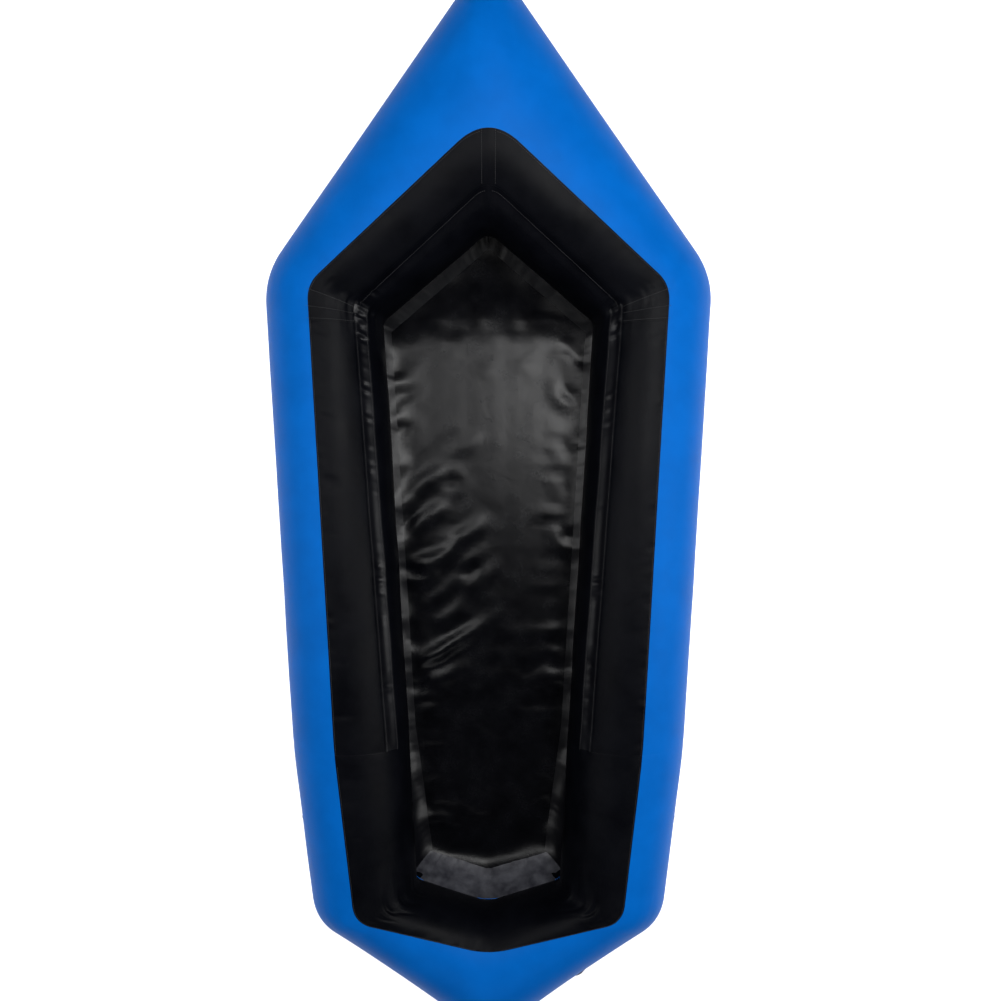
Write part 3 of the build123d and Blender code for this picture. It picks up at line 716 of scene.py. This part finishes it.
# %% Lay the floor
def first_folds(points):
    """A first guess at the folds: long ones forward, slanting ones to port further aft."""
    x, y = points[..., 0], points[..., 1]
    inside = np.clip((half_width(y) - np.abs(x)) / 0.05, 0, 1)
    panel = 0.0035 * np.abs(np.sin((x + 0.002) / 0.086 * math.pi)) * np.clip((y + 0.15) / 0.3, 0, 1)
    slant = noise((y - x * 0.9) / 0.050, (x + y) / 0.16, 21) * np.clip(0.60 - x / 0.10, 0, 1) * bump(y + 0.12, 0.26)
    across = noise(y / 0.027, x / 0.12, 23) * bump(np.abs(x) - half_width(y) + 0.06, 0.06)
    swell = noise(x / 0.09, y / 0.12, 22)
    fold_line = (x + 0.095) * 0.57 - (y + 0.31) * 0.82
    long_fold = bump(fold_line, 0.012) * bump((x + 0.095) * 0.82 + (y + 0.31) * 0.57, 0.085)
    return (1.3 * panel + 0.011 * slant + 0.006 * across + 0.003 * swell + 0.015 * long_fold) * inside


def cloth_over_ground(points, frames, growth):
    """Runs the cloth and returns its points. The grid's outer ring is pinned."""
    rows, columns = points.shape[:2]
    index = np.arange(rows * columns).reshape(rows, columns)
    quads = np.stack([index[:-1, :-1], index[:-1, 1:], index[1:, 1:], index[1:, :-1]], -1).reshape(-1, 4)
    sheet = finish_mesh("floor_trial", points.reshape(-1, 3), quads.tolist(), floor_cloth)
    ring = np.concatenate([index[0], index[-1], index[:, 0], index[:, -1]])
    pins = sheet.vertex_groups.new(name="rim")
    pins.add(sorted({int(i) for i in ring}), 1.0, "REPLACE")
    bpy.ops.mesh.primitive_plane_add(size=3.0, location=(0, 0, -0.0012))
    ground = bpy.context.object
    ground.modifiers.new("collision", "COLLISION")
    ground.collision.thickness_outer = 0.001
    cloth = sheet.modifiers.new("cloth", "CLOTH")
    cloth.settings.quality = 6
    cloth.settings.mass = 0.4
    cloth.settings.tension_stiffness = 25
    cloth.settings.compression_stiffness = 25
    cloth.settings.shear_stiffness = 12
    cloth.settings.bending_stiffness = 15.0
    cloth.settings.tension_damping = 12
    cloth.settings.compression_damping = 12
    cloth.settings.vertex_group_mass = "rim"
    cloth.settings.shrink_min = -growth
    cloth.collision_settings.distance_min = 0.0012
    cloth.point_cache.frame_end = frames
    scene = bpy.context.scene
    for step in range(1, frames + 1):
        scene.frame_set(step)
    result = np.zeros(rows * columns * 3)
    sheet.evaluated_get(bpy.context.evaluated_depsgraph_get()).data.vertices.foreach_get("co", result)
    scene.frame_set(1)
    for helper in (sheet, ground):
        bpy.data.objects.remove(helper)
    return result.reshape(rows, columns, 3)


def softened(points, passes):
    """Evens out the smallest creases and leaves the outer ring as it is."""
    for _ in range(passes):
        for axis in (0, 1):
            a = np.moveaxis(points, axis, 0)
            a[1:-1] = a[:-2] / 4 + a[1:-1] / 2 + a[2:] / 4
    return points


cloth_frames, cloth_growth = 26, 0.005
laid = plain.copy()
laid[..., 2] += first_folds(plain)
laid = softened(cloth_over_ground(laid, cloth_frames, cloth_growth), 1)
print("the folds stand up to", round(float((laid[..., 2] - plain[..., 2]).max() * 1000), 1), "mm")


# %% Smooth the floor and give it its thickness
def finer(points, axes=(0, 1)):
    """Halves the grid's step with a smooth curve through its points."""
    for axis in axes:
        a = np.moveaxis(points, axis, 0)
        ends = np.concatenate([2 * a[:1] - a[1:2], a, 2 * a[-1:] - a[-2:-1]])
        middle = (-ends[:-3] + 9 * ends[1:-2] + 9 * ends[2:-1] - ends[3:]) / 16
        out = np.empty((a.shape[0] * 2 - 1, *a.shape[1:]))
        out[0::2], out[1::2] = a, middle
        points = np.moveaxis(out, 0, axis)
    return points


fine_floor = finer(finer(laid), axes=(0,))
floor_thickness = 0.0006
fine_floor[..., 2] = np.maximum(fine_floor[..., 2], floor_thickness + 0.0001)
floor_normal = np.cross(np.gradient(fine_floor, axis=1), np.gradient(fine_floor, axis=0))
floor_normal /= length(floor_normal)
floor_under = fine_floor - floor_normal * floor_thickness
floor_under[..., 2] = np.maximum(floor_under[..., 2], 0.0)
floor_piece = settle(shell("floor_sheet", fine_floor, floor_under, floor_cloth), "hull", "floor_black", "floor")

# %% [markdown]
# ## Tape round the floor
# A wide tape is pressed over the joint of floor and tube. It follows the joint's corners with mitred ends, and lies
# on whatever folds the floor has. At the stern its colour is painted pale grey, a painted highlight where it catches
# the light.


# %% Tapes on the floor's border
def floor_point(x, y, lift=0.0):
    """The point of the laid floor over a place on the ground, raised by lift."""
    v = np.interp(y, ys, np.linspace(0, fine_floor.shape[0] - 1, len(ys)))
    u = (x / (half_width(y) + tuck) + 1) / 2 * (fine_floor.shape[1] - 1)
    i = np.clip(np.floor(v).astype(int), 0, fine_floor.shape[0] - 2)
    j = np.clip(np.floor(u).astype(int), 0, fine_floor.shape[1] - 2)
    a, b = np.clip(v - i, 0, 1)[..., None], np.clip(u - j, 0, 1)[..., None]
    low = fine_floor[i, j] * (1 - b) + fine_floor[i, j + 1] * b
    high = fine_floor[i + 1, j] * (1 - b) + fine_floor[i + 1, j + 1] * b
    height = (low * (1 - a) + high * a)[..., 2] + lift
    return np.stack([np.broadcast_to(x, height.shape), np.broadcast_to(y, height.shape), height], -1)


outline = np.concatenate([rim[:, :2], rim[::-1, :2] * [-1, 1]])
to_next = np.roll(outline, -1, 0) - outline
to_next /= length(to_next)
inward = np.stack([to_next[:, 1], -to_next[:, 0]], -1)
mitre = inward + np.roll(inward, 1, 0)
mitre /= (mitre * inward).sum(-1, keepdims=True)


def floor_tape(name, corners, near, far, cloth, node, crumple=0.0, lift=0.0016):
    """A tape along the floor's joint, past the numbered corners of its outline."""
    rows = []
    for a, b in zip(corners, corners[1:]):
        count = max(3, int(np.linalg.norm(outline[b] - outline[a]) / 0.004))
        t = np.linspace(0, 1, count, endpoint=b == corners[-1])[:, None]
        rows.append(np.concatenate([outline[a] * (1 - t) + outline[b] * t, mitre[a] * (1 - t) + mitre[b] * t], 1))
    line = np.concatenate(rows)
    inwards = np.linspace(near, far, 15)
    x = line[:, 0] + line[:, 2] * inwards[:, None]
    y = line[:, 1] + line[:, 3] * inwards[:, None]
    run = run_along(line[:, :2])
    rise = lift + crumple * np.abs(noise(run / 0.016, inwards[:, None] / 0.04, 31))
    rise = rise + 0.0006 * noise(run / 0.03, 0.0, 32)
    top = floor_point(x, y, rise)
    under = top - np.array([0, 0, tape_thickness])
    return settle(shell(name, top, under, cloth, inside_out=True), "hull", "tape_black", node)


floor_tape("floor_tape_ahead", (8, 9, 0, 1), -0.001, 0.050, tape_cloth, "floor_tape_bow", 0.0014)
floor_tape("floor_tape_starboard", (1, 2, 3), -0.001, 0.050, tape_cloth, "floor_tape_right", 0.0008)
floor_tape("floor_tape_port", (6, 7, 8), -0.001, 0.050, tape_cloth, "floor_tape_left", 0.0008)
# The stern tape's pale colour is a painted highlight.
floor_tape("floor_tape_aft", (3, 4, 5, 6), -0.001, 0.045, stern_tape_lit_cloth, "floor_tape_stern", 0.0024)
print("the floor's joint is", round(float(run_along(np.append(outline, outline[:1], 0))[-1]), 2), "m long")

# %% [markdown]
# ## Lashing rings
# Three wire rings take lashing cord. Each hangs in a folded webbing tab, and a round patch spreads its load over the
# skin. The patch must lie on the curved skin, so its flat circle is projected: a few Newton steps find, for each
# point of the circle, the turn and place of the skin that lie under it.


# %% Round patches
def skin_frame(turn, place):
    """The skin's point, its direction aft and its normal, at a turn and a place."""
    here = surface(np.array(turn), np.array(place))
    aft = surface(np.array(turn), np.array(place + 0.001)) - surface(np.array(turn), np.array(place - 0.001))
    round_it = surface(np.array(turn + 0.05), np.array(place)) - surface(np.array(turn - 0.05), np.array(place))
    normal = np.cross(aft, round_it)
    return here, aft / np.linalg.norm(aft), normal / np.linalg.norm(normal)


def round_patch(name, turn, place, radius, slot, node, hole=0.0):
    """A round patch on the skin. Its grid is a square whose sides are pushed out to a circle."""
    here, aft, normal = skin_frame(turn, place)
    across = np.cross(normal, aft)
    u, v = np.meshgrid(np.linspace(-1, 1, 44), np.linspace(-1, 1, 44))
    wish = np.stack([u * np.sqrt(1 - v * v / 2), v * np.sqrt(1 - u * u / 2)], -1) * radius
    turns, places = np.full(u.shape, float(turn)), np.full(u.shape, float(place))
    for _ in range(8):
        def flat(t, p):
            gap = surface(t, p) - here
            return np.stack([gap @ aft, gap @ across], -1)
        miss = wish - flat(turns, places)
        by_turn = (flat(turns + 0.2, places) - flat(turns - 0.2, places)) / 0.4
        by_place = (flat(turns, places + 0.002) - flat(turns, places - 0.002)) / 0.004
        size = by_turn[..., 0] * by_place[..., 1] - by_turn[..., 1] * by_place[..., 0]
        turns = turns + (miss[..., 0] * by_place[..., 1] - miss[..., 1] * by_place[..., 0]) / size
        places = places + (by_turn[..., 0] * miss[..., 1] - by_turn[..., 1] * miss[..., 0]) / size
    keep = None
    if hole:
        middle = (wish[:-1, :-1] + wish[1:, 1:]) / 2
        keep = np.linalg.norm(middle, axis=-1) > hole
    piece = skin_shell(name, turns, places, patch_cloth, 0.0014, 0.001, keep)
    return settle(piece, "hull", slot, node)


RING_TURN, RING_PLACE = COLOUR + 0.5 * (ROUND - COLOUR), 2.49
BOW_RING_TURN = COLOUR + 0.25 * (ROUND - COLOUR)
ring_spots = {"right": (RING_TURN, RING_PLACE), "left": (RING_TURN, -RING_PLACE), "bow": (BOW_RING_TURN, 0.0)}
for name, (turn, place) in ring_spots.items():
    round_patch(f"round_patch_{name}", turn, place, 0.045, "patch_black", f"ring_patch_{name}")
round_patch("valve_ring_patch", VALVE_TURN, VALVE_PLACE, 0.038, "patch_black", "valve_patch", hole=0.0188)
print(len(ring_spots) + 1, "round patches")

# %% [markdown]
# ## Webbing tabs and the cap's strap
# A strap is a line drawn from the side, given a thickness and swept straight across its width. One helper makes them
# all: the tab folded round the ring's bar, and the rubber strap that keeps the valve's cap.


# %% Straps from a side view
def smooth_line(points, step):
    """Evenly spaced points on a rounded line through a few given ones."""
    points = np.array(points, float)
    for _ in range(3):
        cut = np.stack([points[:-1] * 0.75 + points[1:] * 0.25, points[:-1] * 0.25 + points[1:] * 0.75], 1)
        points = np.concatenate([points[:1], cut.reshape(-1, 2), points[-1:]])
    run = run_along(points)
    even = np.linspace(0, run[-1], int(run[-1] / step) + 2)
    return np.stack([np.interp(even, run, points[:, k]) for k in (0, 1)], -1)


def strap(name, line, width, thickness, origin, ahead, up, material, columns=9):
    """A strap along a line of the plane that ahead and up span, with rounded edges."""
    side = np.cross(up, ahead)
    along = np.gradient(line, axis=0)
    along /= np.linalg.norm(along, axis=-1, keepdims=True)
    flat_normal = np.stack([-along[:, 1], along[:, 0]], -1)
    share = np.linspace(-1, 1, columns)
    swell = thickness / 2 * np.clip(1.15 - share ** 8, 0.25, 1)
    layers = []
    for sign in (1, -1):
        flat = line[:, None] + flat_normal[:, None] * (swell * sign)[:, None]
        layers.append(origin + flat[..., :1] * ahead + flat[..., 1:] * up + (share * width / 2)[:, None] * side)
    return shell(name, *layers, material)


bar_height, bar_turn = 0.007, 0.0033
for name, (turn, place) in ring_spots.items():
    here, aft, normal = skin_frame(turn, place)
    angles = np.radians(np.linspace(-40, 220, 12))
    bend = [(math.cos(a) * bar_turn, bar_height + math.sin(a) * bar_turn) for a in angles]
    line = smooth_line([(0.010, 0.0026), (0.004, 0.0026), (0.0017, 0.0032), *bend, (-0.0017, 0.0032), (-0.004, 0.0026),
                        (-0.010, 0.0026)], 0.0006)
    tab = strap(f"webbing_tab_{name}", line, 0.020, 0.0011, here, np.cross(aft, normal), normal, web_cloth)
    settle(tab, "hull", "webbing_black", f"ring_tab_{name}")
print("a tab goes round a bar", round(bar_height * 1000), "mm off the skin")

# %% The cap's strap
valve_here, valve_aft, valve_out = skin_frame(VALVE_TURN, VALVE_PLACE)
print("the valve sits at", np.round(valve_here, 3), "and points", np.round(valve_out, 3))
low, high, reach = 0.0055, 0.0114, 0.040
bend = (high - low) / 2
hairpin = [(reach + math.sin(a) * bend, low + bend - math.cos(a) * bend) for a in np.radians(np.linspace(0, 180, 14))]
line = smooth_line([(0.0223, low), (0.030, low), *hairpin, (0.030, high), (0.0219, high)], 0.0007)
cap_strap = strap("cap_strap_band", line, 0.007, 0.0014, valve_here, valve_aft, valve_out, valve_rubber)
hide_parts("cap_strap")
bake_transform(cap_strap)
print("the strap is", round(float(run_along(line)[-1]) * 1000), "mm long")

# %% [markdown]
# ## Stitches
# Thread repeats hundreds of times, which is work for Geometry Nodes. The tree turns a line into a curve, cuts it into
# equal steps, puts a small capsule on each step along the line, and makes the copies real. Its inputs are the pitch,
# the stitch's length, the thread's radius and the material. The same tree also draws the edges of the bow's strip and
# of the shoulder patches.


# %% The stitching tree
def stitching_tree():
    """A node group that sews along the edges of a mesh."""
    tree = bpy.data.node_groups.new("stitching", "GeometryNodeTree")
    sockets = {"Geometry": "NodeSocketGeometry", "Pitch": "NodeSocketFloat", "Length": "NodeSocketFloat",
               "Radius": "NodeSocketFloat", "Thread": "NodeSocketMaterial"}
    for name, kind in sockets.items():
        tree.interface.new_socket(name, in_out="INPUT", socket_type=kind)
    tree.interface.new_socket("Geometry", in_out="OUTPUT", socket_type="NodeSocketGeometry")
    start, end = tree.nodes.new("NodeGroupInput"), tree.nodes.new("NodeGroupOutput")
    curve = tree.nodes.new("GeometryNodeMeshToCurve")
    steps = tree.nodes.new("GeometryNodeCurveToPoints")
    steps.mode = "LENGTH"
    capsule = tree.nodes.new("GeometryNodeMeshUVSphere")
    capsule.inputs["Segments"].default_value, capsule.inputs["Rings"].default_value = 6, 5
    capsule.inputs["Radius"].default_value = 1.0
    size = tree.nodes.new("ShaderNodeCombineXYZ")
    copies = tree.nodes.new("GeometryNodeInstanceOnPoints")
    real, finish = tree.nodes.new("GeometryNodeRealizeInstances"), tree.nodes.new("GeometryNodeSetMaterial")
    smooth = tree.nodes.new("GeometryNodeSetShadeSmooth")
    half = tree.nodes.new("ShaderNodeMath")
    half.operation = "MULTIPLY"
    half.inputs[1].default_value = 0.5
    for source, target in (
        (start.outputs["Geometry"], curve.inputs[0]), (curve.outputs[0], steps.inputs["Curve"]),
        (start.outputs["Pitch"], steps.inputs["Length"]), (start.outputs["Length"], half.inputs[0]),
        (half.outputs[0], size.inputs["Z"]), (start.outputs["Radius"], size.inputs["X"]),
        (start.outputs["Radius"], size.inputs["Y"]), (steps.outputs["Points"], copies.inputs["Points"]),
        (capsule.outputs["Mesh"], copies.inputs["Instance"]), (steps.outputs["Rotation"], copies.inputs["Rotation"]),
        (size.outputs[0], copies.inputs["Scale"]), (copies.outputs[0], real.inputs[0]),
        (real.outputs[0], smooth.inputs[0]),
        (smooth.outputs[0], finish.inputs["Geometry"]), (start.outputs["Thread"], finish.inputs["Material"]),
        (finish.outputs[0], end.inputs[0]),
    ):
        tree.links.new(source, target)
    return tree


stitching = stitching_tree()
print("the stitching tree has", len(stitching.nodes), "nodes")


# %% Sew along lines
def sew(name, lines, pitch, stitch, radius):
    """Stitches along several lines of points, as one plain mesh."""
    vertices = np.concatenate(lines)
    first, edges = 0, []
    for line in lines:
        edges += [(i, i + 1) for i in range(first, first + len(line) - 1)]
        first += len(line)
    mesh = bpy.data.meshes.new(name)
    mesh.from_pydata(vertices, edges, [])
    rows = bpy.data.objects.new(f"{name}_rows", mesh)
    bpy.context.collection.objects.link(rows)
    modifier = rows.modifiers.new("stitching", "NODES")
    modifier.node_group = stitching
    values = {"Pitch": pitch, "Length": stitch, "Radius": radius, "Thread": black_thread}
    for item in stitching.interface.items_tree:
        if item.name in values:
            modifier[item.identifier] = values[item.name]
    evaluated = rows.evaluated_get(bpy.context.evaluated_depsgraph_get())
    sewn = bpy.data.objects.new(name, bpy.data.meshes.new_from_object(evaluated))
    bpy.context.collection.objects.link(sewn)
    bpy.data.objects.remove(rows)
    return settle(sewn, "hull", "tape_black")


def line_on_skin(turn, first, last, lift):
    """A line along the boat on the skin, between two places."""
    places = np.linspace(first, last, max(8, int(abs(last - first) * 150)))
    return surface(np.full(places.shape, float(turn)), places, lift)


stitch_lift = tape_lift + 0.0002
edge_turns = (MIDDLE - half_tape + 1.6, MIDDLE + half_tape - 1.6)
rows = [line_on_skin(turn, a, b, stitch_lift) for turn in edge_turns for a, b in ((-2.0, -1.0), (1.0, 2.0))]
rows += [line_on_skin(MIDDLE + 2, a, b, 0.0011) for a, b in ((-1.0, -0.03), (0.03, 1.0))]
rows += [line_on_skin(COLOUR - 1.5, a, b, 0.0003) for a, b in ((-3.9, -0.05), (0.05, 3.9))]
for side in (1, -1):
    for start, slope in ((1.008, 0.0), (1.024, 0.022), (1.042, 0.030)):
        turns = np.linspace(MIDDLE + half_tape + 2, COLOUR + 1, 40)
        places = side * (start + slope * (turns - turns[0]) / np.ptp(turns))
        rows.append(surface(turns, places, 0.0022))
    turns = np.linspace(MIDDLE + 12, COLOUR, 30)
    rows.append(surface(turns, side * 0.9 * strip_edge("bow", turns), 0.0012))
wall_stitches = sew("wall_stitches", rows, 0.0042, 0.0034, 0.0004)
capsule_faces = 30
print("the wall has", len(wall_stitches.data.polygons) // capsule_faces, "stitches")

# %% Stitches of the stern tape and the ring patches
stern_corners = (3, 4, 5, 6)
stern_line = []
for a, b in zip(stern_corners, stern_corners[1:]):
    t = np.linspace(0, 1, 40)[:, None]
    spot = outline[a] * (1 - t) + outline[b] * t + (mitre[a] * (1 - t) + mitre[b] * t) * 0.030
    stern_line.append(floor_point(spot[:, 0], spot[:, 1], 0.0031))
sew("floor_stitches", stern_line, 0.0045, 0.0032, 0.0004)
tab_rows = []
for name, (turn, place) in ring_spots.items():
    here, aft, normal = skin_frame(turn, place)
    across = np.cross(aft, normal)
    for gap in (-0.0085, -0.0058, 0.0058, 0.0085):
        t = np.linspace(-0.0085, 0.0085, 12)[:, None]
        tab_rows.append(here + aft * t + across * gap + normal * 0.0033)
tab_stitches = sew("tab_stitches", tab_rows, 0.0024, 0.0019, 0.0003)
print("the tabs have", len(tab_stitches.data.polygons) // capsule_faces, "stitches")

# %% [markdown]
# ## Background and light
# The boat stands on a plain pale floor under wide soft lights. Two key lights and a small top light stand forward of the
# boat's middle, which leaves the stern end of the cockpit darker and draws a soft highlight on the shiny floor. Wide
# fills from both sides and a light astern keep the blue even.

# %% Stage and lights
stage_material, stage_shader, *_ = new_material("pale_floor")
for socket, value in (("Base Color", (0.9, 0.9, 0.9, 1)), ("Roughness", 0.9),
                      ("Emission Color", (1, 1, 1, 1)), ("Emission Strength", 0.85)):
    stage_shader.inputs[socket].default_value = value
stage_corners = [(x, y, -0.0005) for x, y in ((-6, -6), (6, -6), (6, 6), (-6, 6))]
stage = finish_mesh("stage_floor", stage_corners, [(0, 1, 2, 3)], stage_material, smooth=False)


def soft_light(name, place, target, size, power):
    """A wide light aimed at a point."""
    lamp = bpy.data.lights.new(name, "AREA")
    lamp.shape = "RECTANGLE"
    lamp.size, lamp.size_y = size
    lamp.energy = power
    light = bpy.data.objects.new(name, lamp)
    light.location = place
    aim = Vector(target) - Vector(place)
    light.rotation_euler = aim.to_track_quat("-Z", "Y").to_euler()
    bpy.context.collection.objects.link(light)


for light in (
    ("key_light", (0.62, 0.62, 2.3), (0.25, 0.1, 0.1), (0.7, 0.9), 30),
    ("top_light", (0.0, 0.66, 2.45), (0.0, 0.35, 0.0), (0.8, 0.4), 5),
    ("left_key", (-0.95, 0.45, 2.3), (-0.2, 0.2, 0.1), (0.8, 0.8), 15),
    ("left_fill", (-2.3, -0.3, 2.0), (0, -0.1, 0.1), (0.8, 2.2), 18),
    ("right_fill", (2.3, -0.3, 2.0), (0, -0.1, 0.1), (0.8, 2.2), 38),
    ("stern_light", (0.0, -2.5, 2.2), (0, -0.5, 0.1), (1.8, 0.7), 8),
):
    soft_light(*light)
world = bpy.data.worlds.new("studio")
world.use_nodes = True
world.node_tree.nodes["Background"].inputs["Color"].default_value = (1, 1, 1, 1)
world.node_tree.nodes["Background"].inputs["Strength"].default_value = 0.05
bpy.context.scene.world = world

# %% [markdown]
# ## Rigid fittings
# The rings and the valve already have their true shape in the frame, so they only take their finish here. The valve's
# spring gets a mesh of its own.


# %% Finishes of the rigid fittings
def paint(material, *nodes):
    """Gives nodes of the frame their finish."""
    for node in nodes:
        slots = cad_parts[node].data.materials
        slots.clear()
        slots.append(material)


paint(ring_wire, "ring_left", "ring_right", "ring_bow")
paint(spring_wire, "valve_spring")
paint(valve_plastic, "valve_body", "valve_nut", "valve_poppet", "valve_button", "valve_cap")
paint(valve_rubber, "valve_gasket", "valve_seal", "cap_gasket", "strap_collar", "strap_link")
print(len(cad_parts), "nodes are in the frame")

# %% The spring
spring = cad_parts["valve_spring"]
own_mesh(spring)
